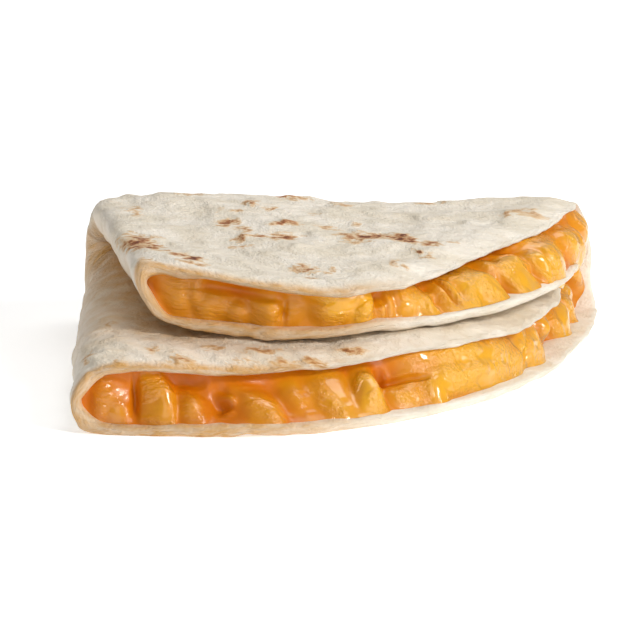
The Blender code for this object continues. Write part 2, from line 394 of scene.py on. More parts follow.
def grid_quads(numbers: Array, closed: bool = False) -> Array:
    """Joins a grid of point numbers into quads.

    Args:
        numbers: Point numbers, rows by columns.
        closed: Whether the last column joins the first.

    Returns:
        One row of four point numbers for each quad, anticlockwise where rows run up.
    """
    if closed:
        numbers = np.concatenate([numbers, numbers[:, :1]], axis=1)
    corners = [numbers[:-1, :-1], numbers[:-1, 1:], numbers[1:, 1:], numbers[1:, :-1]]
    return np.stack([corner.ravel() for corner in corners], axis=1)


def stitched(fine: Array, coarse: Array) -> Array:
    """Joins a closed ring to one with fewer points, by fans of triangles from each coarse point.

    Args:
        fine: Point numbers of the fine ring.
        coarse: Point numbers of the coarse ring, which lies to the left of the fine one.

    Returns:
        One row of three point numbers for each triangle.
    """
    ratio = len(fine) // len(coarse)
    nearest = coarse[(np.arange(len(fine)) + ratio // 2) // ratio % len(coarse)]
    fans = np.stack([fine, np.roll(fine, -1), nearest], axis=1)
    middles = fine[ratio // 2 :: ratio][: len(coarse)]
    gaps = np.stack([middles, np.roll(coarse, -1), coarse], axis=1)
    if ratio % 2 == 0:
        fans[ratio // 2 - 1 :: ratio, 2] = coarse
    return np.concatenate([fans, gaps])


def border(numbers: Array) -> Array:
    """Walks round a square grid of point numbers, anticlockwise from its first corner."""
    sides = [numbers[0, :-1], numbers[:-1, -1], numbers[-1, :0:-1], numbers[:0:-1, 0]]
    return np.concatenate(sides)


def disc(lines: Array) -> tuple[Array, Array]:
    """Pulls a square grid onto a disc: its sides become quarter circles.

    Each coordinate is shortened by the root of one less half the other's square.

    Args:
        lines: The grid's lines, from -1 to 1.

    Returns:
        Bearing in radians and radius from 0 to 1, each rows by columns.
    """
    sideways, upward = np.meshgrid(lines, lines)
    x = sideways * np.sqrt(1 - upward**2 / 2)
    y = upward * np.sqrt(1 - sideways**2 / 2)
    return np.arctan2(y, x), np.hypot(x, y)


def add_piece(name: str, points: Array, faces: list[Array], material: bpy.types.Material,
              readings: dict[str, Array]) -> bpy.types.Object:
    """Puts whole arrays of points and faces into one smooth mesh object at the origin.

    Args:
        name: The piece's name.
        points: Points, one row each.
        faces: Arrays of quads and of triangles.
        material: The piece's finish.
        readings: Numbers or vectors for each point that the finish reads, by name.

    Returns:
        The object.
    """
    mesh = bpy.data.meshes.new(name)
    sizes = np.concatenate([np.full(len(block), block.shape[1]) for block in faces])
    corners = np.concatenate([block.ravel() for block in faces])
    mesh.vertices.add(len(points))
    mesh.vertices.foreach_set("co", points.astype(np.float32).ravel())
    mesh.loops.add(len(corners))
    mesh.loops.foreach_set("vertex_index", corners.astype(np.int32))
    mesh.polygons.add(len(sizes))
    mesh.polygons.foreach_set("loop_start", np.cumsum(sizes).astype(np.int32) - sizes.astype(np.int32))
    mesh.update(calc_edges=True)
    mesh.validate()
    mesh.shade_smooth()
    for reading, values in readings.items():
        kind, field = ("FLOAT_VECTOR", "vector") if values.ndim == 2 else ("FLOAT", "value")
        attribute = mesh.attributes.new(reading, kind, "POINT")
        attribute.data.foreach_set(field, values.astype(np.float32).ravel())
    mesh.materials.append(material)
    obj = bpy.data.objects.new(name, mesh)
    bpy.context.scene.collection.objects.link(obj)
    return obj


# ---------------------------------------------------------------- finishes


class Reading(Enum):
    """What the meshes tell their finishes at each point."""

    FLAT = "flat"
    TOAST = "toast"
    GREASE_AND_SHADE = "grease_and_shade"
    THICK = "thick"
    FACE = "face"
    LEFT_SHADE = "left_shade"


def node(material: bpy.types.Material, kind: str, links: dict | None = None,
         **settings: object) -> bpy.types.Node:
    """Adds one shader node with its settings and its incoming links.

    Args:
        material: The material that gets the node.
        kind: Blender's name for the node.
        links: For each input's name or number, an output socket to link, or a value to set.
        settings: Properties of the node itself.

    Returns:
        The node.
    """
    made = material.node_tree.nodes.new(kind)
    for name, value in settings.items():
        setattr(made, name, value)
    for name, value in (links or {}).items():
        if isinstance(value, bpy.types.NodeSocket):
            material.node_tree.links.new(value, made.inputs[name])
        else:
            made.inputs[name].default_value = value
    return made


def reading(material: bpy.types.Material, name: Reading) -> bpy.types.NodeSocket:
    """Adds the node that reads one of the mesh's attributes, and gives its output."""
    made = node(material, "ShaderNodeAttribute", attribute_name=name.value)
    return made.outputs["Vector" if name in (Reading.FLAT, Reading.FACE) else "Fac"]


def noise(material: bpy.types.Material, place: bpy.types.NodeSocket, size_mm: float,
          detail: float = 2.0, stretch: tuple[float, float, float] = (1, 1, 1)) -> bpy.types.NodeSocket:
    """Adds noise whose blobs have a real size.

    Args:
        material: The material that gets the nodes.
        place: Coordinates in millimetres.
        size_mm: Distance from one blob to the next.
        detail: How many finer layers are added.
        stretch: How many times closer the blobs lie along each axis.

    Returns:
        The noise, about 0.5 on average.
    """
    scaled = node(material, "ShaderNodeMapping", {"Vector": place, "Scale": stretch})
    texture = node(material, "ShaderNodeTexNoise", {
        "Vector": scaled.outputs[0], "Scale": 1 / size_mm, "Detail": detail, "Roughness": 0.55,
    })
    return texture.outputs[0]


def ramp(material: bpy.types.Material, value: bpy.types.NodeSocket, low: float, high: float,
         least: float = 0.0, most: float = 1.0) -> bpy.types.NodeSocket:
    """Adds an eased step of a value, from least at low to most at high, and gives its output."""
    made = node(material, "ShaderNodeMapRange", {
        "Value": value, "From Min": low, "From Max": high, "To Min": least, "To Max": most,
    }, interpolation_type="SMOOTHSTEP")
    return made.outputs[0]


def sums(material: bpy.types.Material, operation: str, first: object, second: object) -> bpy.types.NodeSocket:
    """Adds one sum of two values, such as ADD or MULTIPLY, and gives its output."""
    return node(material, "ShaderNodeMath", {0: first, 1: second}, operation=operation).outputs[0]


def blend(material: bpy.types.Material, share: object, first: object, second: object) -> bpy.types.NodeSocket:
    """Adds a mix of two colours, share of the way from the first to the second."""
    made = node(material, "ShaderNodeMix", {0: share, 6: first, 7: second}, data_type="RGBA")
    return made.outputs[2]


def new_material(name: str) -> tuple[bpy.types.Material, bpy.types.Node]:
    """Starts a material and gives it with its Principled shader."""
    material = bpy.data.materials.new(name)
    material.use_nodes = True
    return material, material.node_tree.nodes["Principled BSDF"]


@dataclass(frozen=True)
class FlourTortillaFinish:
    """Wheat dough, rolled thin and griddled.

    The eye gets a matt cream sheet with floury, whiter patches and greyer damp ones, a finely
    pitted skin, brown flecks where blisters met the griddle, and a warm oily edge by the cheese.
    A painted shade in the oil's colour darkens the lower flap and the sheet under the upper flap.
    """

    dough: str = "#E4DAC8"
    flour: str = "#EFE7DA"
    damp: str = "#D2C3A8"
    tan: str = "#D9B483"
    brown: str = "#A96C3C"
    char: str = "#6A3620"
    oil_and_shade_tint: str = "#D09A48"
    roughness: float = 0.62
    mottle_mm: float = 9.0
    patch_mm: float = 3.2
    fleck_mm: float = 1.5
    pore_mm: float = 0.55

    def build(self) -> bpy.types.Material:
        """Builds the material.

        Returns:
            A material that reads the sheet's flat place, toast, and grease together with painted shade.
        """
        material, shader = new_material("griddled_flour_tortilla")
        flat = reading(material, Reading.FLAT)
        toast = reading(material, Reading.TOAST)
        grease_and_shade = reading(material, Reading.GREASE_AND_SHADE)
        mottle = noise(material, flat, self.mottle_mm, 3.0)
        patch = noise(material, flat, self.patch_mm, 3.0)
        pore = noise(material, flat, self.pore_mm, 2.0)

        skin = blend(material, ramp(material, mottle, 0.35, 0.65), linear(self.dough), linear(self.flour))
        dull = sums(material, "MULTIPLY", ramp(material, patch, 0.45, 0.75), 0.34)
        skin = blend(material, dull, skin, linear(self.damp))

        # Toast is broken into flecks: a mark shows where it is stronger than the fleck noise.
        fleck = ramp(material, noise(material, flat, self.fleck_mm, 1.6), 0.3, 0.7)
        burnt = sums(material, "SUBTRACT", sums(material, "MULTIPLY", toast, 1.45),
                     sums(material, "MULTIPLY", fleck, 0.75))
        skin = blend(material, ramp(material, burnt, 0.0, 0.55, 0.0, 0.8), skin, linear(self.tan))
        skin = blend(material, ramp(material, burnt, 0.4, 0.95), skin, linear(self.brown))
        skin = blend(material, ramp(material, burnt, 0.8, 1.2), skin, linear(self.char))

        # The oil colour stands for real grease, and also for painted shade on the lower flap and under the upper flap.
        oil_and_shade_share = sums(material, "MULTIPLY", grease_and_shade, ramp(material, patch, 0.25, 0.7, 0.55, 1.0))
        skin = blend(material, oil_and_shade_share, skin, linear(self.oil_and_shade_tint))
        material.node_tree.links.new(skin, shader.inputs["Base Color"])

        dry = ramp(material, grease_and_shade, 0.1, 0.9, self.roughness, 0.38)
        material.node_tree.links.new(dry, shader.inputs["Roughness"])
        relief = sums(material, "ADD", sums(material, "MULTIPLY", patch, 1.0), sums(material, "MULTIPLY", pore, 0.35))
        relief = sums(material, "ADD", relief, sums(material, "MULTIPLY", burnt, 0.12))
        bump = node(material, "ShaderNodeBump", {"Height": relief, "Strength": 0.9, "Distance": 0.85 * MM})
        material.node_tree.links.new(bump.outputs[0], shader.inputs["Normal"])
        shader.inputs["IOR"].default_value = 1.45
        shader.inputs["Subsurface Weight"].default_value = 0.12
        shader.inputs["Subsurface Radius"].default_value = (1.0, 0.85, 0.7)
        shader.inputs["Subsurface Scale"].default_value = 1.2 * MM
        return material


@dataclass(frozen=True)
class MeltedCheddarFinish:
    """Cheddar melted and set again: soft lumps run together, wet with their own oil.

    The eye gets glossy yellow-orange crowns that let light in, their yellow partly painted light,
    deeper orange where the lumps meet and towards the left end, which is painted shade, and small
    broken glints where the skin has crinkled.
    """

    deep: str = "#CC7002"
    body: str = "#D68A06"
    crown: str = "#E0A10E"
    roughness: float = 0.36
    swirl_mm: float = 6.0
    crinkle_mm: float = 0.75
    fine_mm: float = 0.45

    def build(self) -> bpy.types.Material:
        """Builds the material.

        Returns:
            A material that reads the face's own place, how far it stands out, and how much painted shade it gets
            towards the left.
        """
        material, shader = new_material("melted_cheddar")
        place = reading(material, Reading.FACE)
        thick = reading(material, Reading.THICK)
        left_shade = reading(material, Reading.LEFT_SHADE)
        swirl = noise(material, place, self.swirl_mm, 2.0)
        crinkle = noise(material, place, self.crinkle_mm, 1.5, (0.7, 1.0, 1.0))
        fine = noise(material, place, self.fine_mm, 2.0)

        # Painted light and shade: crowns that stand out are coloured yellower, and the valleys between lumps and the
        # left end deeper orange; the swirl noise adds a random tone.
        lit = sums(material, "ADD", thick, sums(material, "MULTIPLY", sums(material, "SUBTRACT", swirl, 0.5), 0.9))
        lit = sums(material, "SUBTRACT", lit, sums(material, "MULTIPLY", left_shade, 0.35))
        colour = blend(material, ramp(material, lit, -0.1, 0.45), linear(self.deep), linear(self.body))
        colour = blend(material, ramp(material, lit, 0.4, 1.0), colour, linear(self.crown))
        material.node_tree.links.new(colour, shader.inputs["Base Color"])

        # The skin is crinkled in patches and smooth between them.
        where = ramp(material, noise(material, place, 5.0, 1.0), 0.4, 0.52)
        where = sums(material, "MULTIPLY", where, ramp(material, thick, 0.3, 0.7))
        wrinkled = sums(material, "MULTIPLY", sums(material, "ADD", crinkle, sums(material, "MULTIPLY", fine, 0.4)), where)
        relief = sums(material, "ADD", sums(material, "MULTIPLY", wrinkled, 0.45), sums(material, "MULTIPLY", swirl, 0.6))
        bump = node(material, "ShaderNodeBump", {"Height": relief, "Strength": 0.8, "Distance": 0.7 * MM})
        material.node_tree.links.new(bump.outputs[0], shader.inputs["Normal"])
        film = sums(material, "ADD", sums(material, "MULTIPLY", wrinkled, 1.1), sums(material, "MULTIPLY", swirl, 0.6))
        film = node(material, "ShaderNodeBump", {"Height": film, "Strength": 1.0, "Distance": 0.7 * MM})
        material.node_tree.links.new(film.outputs[0], shader.inputs["Coat Normal"])
        shader.inputs["Roughness"].default_value = self.roughness
        shader.inputs["IOR"].default_value = 1.38
        shader.inputs["Subsurface Weight"].default_value = 0.14
        shader.inputs["Subsurface Radius"].default_value = (1.0, 0.6, 0.2)
        shader.inputs["Subsurface Scale"].default_value = 1.2 * MM
        material.node_tree.links.new(ramp(material, thick, 0.25, 0.6, 0.1, 1.0), shader.inputs["Coat Weight"])
        shader.inputs["Coat Roughness"].default_value = 0.08
        return material


@dataclass(frozen=True)
class FloorFinish:
    """The plain pale floor: white translucent acrylic, lit a little from below."""

    white: str = "#F7F7F7"
    glow: float = 0.42

    def build(self) -> bpy.types.Material:
        """Builds the material and gives it."""
        material, shader = new_material("white_acrylic")
        shader.inputs["Base Color"].default_value = linear(self.white)
        shader.inputs["Roughness"].default_value = 0.9
        shader.inputs["Emission Color"].default_value = (1.0, 1.0, 1.0, 1.0)
        shader.inputs["Emission Strength"].default_value = self.glow
        return material


# ---------------------------------------------------------------- the tortilla


@dataclass(frozen=True)
class ToastMark:
    """A browned place on the flat sheet, in millimetres: a soft ellipse."""

    across: float
    along: float
    half_across: float
    half_along: float
    strength: float = 0.7
    turn: float = 0.0

    def at(self, across: Array, along: Array) -> Array:
        """Reads the mark: its strength times one less the fourth power of the ellipse's radius.

        Args:
            across: Places on the flat sheet, in millimetres.
            along: The same.

        Returns:
            Strength at each place, 0 outside the mark.
        """
        cos, sin = math.cos(math.radians(self.turn)), math.sin(math.radians(self.turn))
        sideways, upward = across - self.across, along - self.along
        x = (sideways * cos + upward * sin) / (self.half_across * 1.5)
        y = (upward * cos - sideways * sin) / (self.half_along * 1.5)
        return self.strength * np.clip(1 - (x**2 + y**2), 0, 1)


@dataclass(frozen=True)
class Wrinkle:
    """A ridge or a dent of the whole sheet between two places on it, in millimetres."""

    start: tuple[float, float]
    end: tuple[float, float]
    half_width: float
    rise: float

    def at(self, across: Array, along: Array) -> Array:
        """Reads the wrinkle: a bell curve over the distance from its line, fading at both ends.

        Args:
            across: Places on the flat sheet, in millimetres.
            along: The same.

        Returns:
            Rise in millimetres.
        """
        run = np.subtract(self.end, self.start)
        length = float(np.hypot(*run))
        forward = ((across - self.start[0]) * run[0] + (along - self.start[1]) * run[1]) / length
        sideways = ((along - self.start[1]) * run[0] - (across - self.start[0]) * run[1]) / length
        fade = smooth(0, 0.3, forward / length) * smooth(1, 0.7, forward / length)
        return self.rise * fade * np.exp(-((sideways / self.half_width) ** 2))


@dataclass
class Tortilla:
    """The whole sheet: browned outer face, rounded rim, and the paler face on the cheese."""

    folds: TwoFolds
    finish: FlourTortillaFinish
    lines: int = 272
    coarseness: int = 4
    rim_rows: int = 7
    rim_swell: float = 0.42
    droop: float = 1.0 * MM
    droop_reach: float = 5.0 * MM
    band_mm: tuple[float, ...] = (0.7, 1.7, 3.0, 4.5, 6.5, 9.0, 12.0)
    scallop: float = 0.5 * MM
    marks: tuple[ToastMark, ...] = (
        ToastMark(4.6, 57, 3.4, 8.0, 0.86, -8),
        ToastMark(7.8, 52, 2.2, 3.0, 0.62),
        ToastMark(13.6, 71.0, 1.7, 3.4, 1.05),
        ToastMark(11.0, 68.0, 2.0, 2.6, 0.66),
        ToastMark(12.8, 76.5, 2.2, 1.8, 0.62),
        ToastMark(7.6, 66.0, 1.7, 1.6, 0.74),
        ToastMark(4.4, 74.5, 1.8, 5.0, 0.55, -15),
        ToastMark(8.0, 28.5, 1.6, 5.0, 0.60),
        ToastMark(21.0, 17.0, 3.0, 3.0, 0.60),
        ToastMark(40.5, 17.5, 3.0, 4.0, 0.66),
        ToastMark(24.0, 30.0, 1.0, 1.8, 0.58),
        ToastMark(31.0, 26.0, 2.6, 2.0, 0.68),
        ToastMark(27.6, 30.5, 1.4, 1.6, 0.58),
        ToastMark(24.6, 38.5, 2.0, 3.0, 0.76, 25),
        ToastMark(27.0, 44.0, 1.9, 2.6, 0.76),
        ToastMark(25.5, 50.0, 2.6, 2.0, 0.90),
        ToastMark(33.0, 49.5, 3.4, 2.6, 0.76),
        ToastMark(29.4, 50.0, 2.4, 1.0, 0.70),
        ToastMark(24.5, 55.5, 2.4, 2.0, 0.66),
        ToastMark(35.5, 41.5, 2.6, 2.2, 0.72),
        ToastMark(35.0, 30.5, 1.8, 1.6, 0.55),
        ToastMark(43.0, 42.5, 2.6, 1.6, 0.72),
        ToastMark(43.5, 32.0, 1.8, 1.8, 0.54),
        ToastMark(50.0, 49.5, 5.0, 3.6, 0.86, 12),
        ToastMark(48.0, 53.0, 3.4, 2.0, 0.66),
        ToastMark(56.2, 53.0, 2.6, 5.2, 0.98, -20),
        ToastMark(57.2, 50.0, 1.3, 2.0, 1.05),
        ToastMark(61.5, 57.5, 2.4, 2.2, 0.72),
        ToastMark(65.5, 56.5, 2.2, 1.2, 0.56),
        ToastMark(56.8, 62.5, 0.8, 1.4, 0.86),
        ToastMark(33.6, 73.0, 2.2, 3.0, 0.74),
        ToastMark(36.6, 76.5, 1.4, 1.8, 0.66),
        ToastMark(33.2, 80.0, 1.4, 2.0, 0.74),
        ToastMark(39.0, 74.5, 1.0, 1.4, 0.58),
        ToastMark(52.0, 70.5, 1.4, 4.0, 0.68),
        ToastMark(58.0, 65.0, 2.2, 1.4, 0.70),
        ToastMark(84.0, 34.5, 3.0, 3.2, 0.60),
        ToastMark(80.5, 37.5, 2.4, 2.0, 0.52),
        ToastMark(68.0, 20.0, 3.0, 3.0, 0.52),
        ToastMark(50.0, 23.5, 2.2, 2.4, 0.55),
        ToastMark(49.5, 39.0, 2.0, 2.0, 0.52),
        ToastMark(-17.0, -88.0, 1.0, 2.6, 0.72),
        ToastMark(-22.5, -93.0, 2.6, 2.6, 0.62),
        ToastMark(-33.5, -93.0, 3.0, 4.0, 0.55),
        ToastMark(-37.5, -85.0, 3.4, 1.8, 0.70),
        ToastMark(-41.0, -92.5, 2.2, 3.4, 0.66),
        ToastMark(-46.0, -89.5, 1.4, 2.0, 0.74),
        ToastMark(-54.0, -84.0, 3.0, 1.2, 0.86),
        ToastMark(-29.0, -84.0, 2.4, 2.0, 0.52),
        ToastMark(-11.0, -96.0, 1.0, 3.4, 0.52),
        ToastMark(-4.6, -88.0, 1.2, 4.0, 0.60),
        ToastMark(-7.0, -10.0, 1.6, 4.0, 0.60),
        ToastMark(-9.0, -72.0, 1.4, 3.0, 0.52),
        ToastMark(27.0, -100.5, 3.6, 3.4, 0.85),
        ToastMark(17.0, -100.0, 2.4, 3.0, 0.66),
        ToastMark(9.0, -98.0, 2.6, 3.0, 0.62),
    )
    wrinkles: tuple[Wrinkle, ...] = (
        Wrinkle((14, 56), (34, 92), 2.6, 0.45),
        Wrinkle((17, 50), (37, 88), 3.0, -0.40),
        Wrinkle((3, 60), (14, 84), 1.4, 0.35),
        Wrinkle((2, 66), (9, 86), 1.2, -0.30),
        Wrinkle((-1, 62), (5, 82), 1.0, 0.25),
        Wrinkle((60, 40), (84, 52), 2.0, 0.30),
        Wrinkle((58, 34), (80, 44), 2.0, -0.28),
        Wrinkle((66, 28), (88, 40), 1.8, 0.28),
        Wrinkle((-3, -70), (-14, -84), 1.2, 0.35),
        Wrinkle((-3, -76), (-13, -92), 1.2, -0.30),
        Wrinkle((-2, -84), (-9, -96), 1.1, 0.30),
        Wrinkle((-2, -20), (-12, -34), 1.4, 0.30),
        Wrinkle((-3, -50), (-16, -66), 1.6, -0.32),
    )
    hidden_marks: int = 34

    def spare_marks(self) -> list[ToastMark]:
        """Scatters a few more marks over the underside and the back, in a fixed order."""
        draw = np.random.default_rng(11)
        made = []
        for _ in range(self.hidden_marks):
            bearing, reach = draw.uniform(-1.5, 0.05), draw.uniform(0.15, 0.9) ** 0.7 * 96
            size, turn = draw.uniform(1.2, 4.2), draw.uniform(-60, 60)
            place = (reach * math.cos(bearing), reach * math.sin(bearing))
            made.append(ToastMark(*place, size, size * draw.uniform(0.5, 1.2), draw.uniform(0.5, 0.95), turn))
        return made

    def toast(self, across: Array, along: Array) -> Array:
        """Reads the strongest mark at each place, on a faint unevenness of its own.

        Args:
            across: Places on the flat sheet, in metres.
            along: The same.

        Returns:
            How browned each place is, from 0 to about 1.
        """
        x, y = across / MM, along / MM
        x = x + 0.9 * unevenness(x, y, 3.0, 21)
        y = y + 0.9 * unevenness(x, y, 3.0, 22)
        browned = np.zeros(x.shape)
        for mark in (*self.marks, *self.spare_marks()):
            browned = np.maximum(browned, mark.at(x, y))
        return browned

    def lifted(self, across: Array, along: Array) -> Array:
        """Adds up the wrinkles and a broad unevenness, by which the whole sheet stands out.

        Args:
            across: Places on the flat sheet, in metres.
            along: The same.

        Returns:
            Rise in metres.
        """
        x, y = across / MM, along / MM
        rise = 0.35 * unevenness(x, y, 16.0, 3) + 0.20 * unevenness(x, y, 7.0, 4)
        for wrinkle in self.wrinkles:
            rise = rise + wrinkle.at(x, y)
        return rise * MM

    def skin(self, across: Array, along: Array) -> Array:
        """Adds the blisters and pits of the griddled skin: noise of two sizes.

        Args:
            across: Places on the flat sheet, in metres.
            along: The same.

        Returns:
            Rise in metres.
        """
        x, y = across / MM, along / MM
        blisters = np.maximum(unevenness(x, y, 4.5, 5, 1), 0) ** 2
        along_streaks, over_streaks = x * 0.5 + y * 0.87, y * 0.5 - x * 0.87
        streaks = unevenness(along_streaks / 4.5, over_streaks, 2.0, 9)
        return (0.24 * blisters + 0.07 * unevenness(x, y, 2.4, 6) + 0.18 * streaks) * MM

    def drooped(self, bearing: Array, from_rim: Array) -> Array:
        """Thins the leaf that lies over the cheese as it nears its rim, by a square of the way.

        Args:
            bearing: Radians round the corner.
            from_rim: Distance in from the rim, in metres.

        Returns:
            How far the browned face bends down, in metres.
        """
        over = smooth(0.0, 0.35, np.sin(2 * bearing))
        return self.droop * over * np.clip(1 - from_rim / self.droop_reach, 0, 1) ** 2

    def reach(self, bearing: Array) -> Array:
        """Reads the sheet's radius with its small scallops, bearing in radians."""
        turned = np.degrees(bearing)
        round_rim = (np.cos(bearing) * 40, np.sin(bearing) * 40)
        return self.folds.outline(turned) + self.scallop * unevenness(*round_rim, 4.0, 8)

    def grease_and_shade(self, bearing: Array, from_rim: Array, inner: Array) -> Array:
        """Reads how far cheese oil has soaked the sheet, and adds painted shade on the lower flap and under the upper
        flap.

        Args:
            bearing: Radians round the corner.
            from_rim: Distance in from the rim, in metres.
            inner: 1 on the face that touches the cheese, 0 on the browned face.

        Returns:
            From 0 for dry to 1 for soaked, and up to 0.86 where the painted shade lies.
        """
        left = smooth(0.82, 0.96, np.abs(np.sin(bearing)))
        rim = np.exp(-((from_rim / (1.6 * MM)) ** 2)) * 0.95 * left
        soaked = inner * left * (0.6 + 0.4 * smooth(2.0 * MM, 6 * MM, from_rim))
        # Painted shade in the oil's colour: a faint tint over the lower flap's top, and a strong one on the inner
        # leaf's browned face further in from the rim, where the two flaps lie on each other.
        lower = smooth(0.1, -0.3, np.sin(bearing))
        between = smooth(-0.1, 0.3, -np.cos(bearing)) * (1 - inner)
        shaded = between * (0.16 * lower + 0.7 * smooth((3 + 6 * lower) * MM, (12 + 14 * lower) * MM, from_rim))
        return np.clip(np.maximum(np.maximum(rim, soaked), shaded), 0, 1)

    def build(self) -> bpy.types.Object:
        """Builds the sheet as rings and grids that share their borders.

        The browned face is a fine grid on a disc. Its border runs over the rim in a half ellipse,
        then down a band of the inner face, and is stitched to a coarser grid inside.

        Returns:
            The tortilla.
        """
        half = self.folds.sheet / 2
        lines = np.linspace(-1, 1, self.lines + 1)
        bearing, share = disc(lines)
        radius = share * self.reach(bearing)
        rim_bearing, rim_radius = border(bearing), border(radius)

        # Rows over the rim: the sine gives the depth and the cosine how far the rim stands out.
        turn = np.linspace(-90, 90, self.rim_rows + 2)[1:-1, None]
        depth = half * np.sin(np.radians(turn))
        rim = rim_radius + self.rim_swell * self.folds.sheet * np.cos(np.radians(turn))
        inward = np.array(self.band_mm)[:, None] * MM
        ring_radius = np.concatenate([rim, rim_radius - inward])
        ring_inset = np.concatenate([depth, np.full(inward.shape, half)])

        inner_bearing, inner_share = disc(lines[:: self.coarseness])
        inner_radius = inner_share * (self.reach(inner_bearing) - (self.band_mm[-1] + 2.5) * MM)

        bearings = [bearing, np.broadcast_to(rim_bearing, ring_radius.shape), inner_bearing]
        radii = [radius, ring_radius, inner_radius]
        insets = [np.full(radius.shape, -half), np.broadcast_to(ring_inset, ring_radius.shape),
                  np.full(inner_radius.shape, half)]
        faced = np.concatenate([block.ravel() for block in insets])
        bearing = np.concatenate([block.ravel() for block in bearings])
        radius = np.concatenate([block.ravel() for block in radii])

        across, along = radius * np.cos(bearing), radius * np.sin(bearing)
        inner = smooth(-half, half, faced)
        from_rim = self.reach(bearing) - radius
        bumps = self.skin(across, along) * (1 - 1.4 * inner)
        thinned = self.drooped(bearing, from_rim) * (half - faced) / (2 * half)
        depth = faced + thinned - self.lifted(across, along) - bumps
        points = self.folds.place(across, along, depth)
        points[:, 2] = np.maximum(points[:, 2], 0.0)

        fine = np.arange(bearings[0].size).reshape(bearings[0].shape)
        rings = fine.size + np.arange(ring_radius.size).reshape(ring_radius.shape)
        coarse = fine.size + rings.size + np.arange(inner_radius.size).reshape(inner_radius.shape)
        walls = np.concatenate([border(fine)[None], rings])
        faces = [
            grid_quads(fine)[:, ::-1],
            grid_quads(walls, closed=True),
            stitched(rings[-1], border(coarse)),
            grid_quads(coarse),
        ]
        readings = {
            Reading.FLAT.value: np.stack([across, along, faced * 4], axis=1) / MM,
            Reading.TOAST.value: self.toast(across, along) * (1 - smooth(-0.2, 0.9, faced / half)),
            Reading.GREASE_AND_SHADE.value: self.grease_and_shade(bearing, from_rim, inner),
        }
        piece = add_piece("folded_tortilla", points, faces, self.finish.build(), readings)
        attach(piece, "root")
        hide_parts("tortilla")
        return piece


# ---------------------------------------------------------------- the cheese


@dataclass(frozen=True)
class Lump:
    """A lump of the open face.

    It lies at an angle in degrees round the corner and a share of the way from the outer leaf to
    the inner one. Its half length and half height are in millimetres, and so is how far it
    stands out. Blocky lumps have squarer outlines and flatter fronts.
    """

    angle: float
    share: float
    half_length: float
    half_height: float
    proud: float
    tilt: float = 0.0
    blocky: float = 2.2

    def fall(self, sideways: Array, upward: Array) -> Array:
        """Reads how far the lump has fallen away: the squared radius of a rounded box.

        Args:
            sideways: Distance from the lump's middle along the face, in millimetres.
            upward: Distance from it towards the inner leaf, in millimetres.

        Returns:
            From 0 at its middle, by 1 at its edge, to 6 far outside it.
        """
        cos, sin = math.cos(math.radians(self.tilt)), math.sin(math.radians(self.tilt))
        x = np.abs(sideways * cos + upward * sin) / self.half_length
        y = np.abs(upward * cos - sideways * sin) / self.half_height
        radius = (x**self.blocky + y**self.blocky) ** (1 / self.blocky)
        return np.minimum(radius**2, 6.0)

    def depth(self, steepest: float) -> float:
        """Gives how far the lump falls from its middle to its edge, so that no side is steep."""
        return min(self.proud, steepest * min(self.half_length, self.half_height))


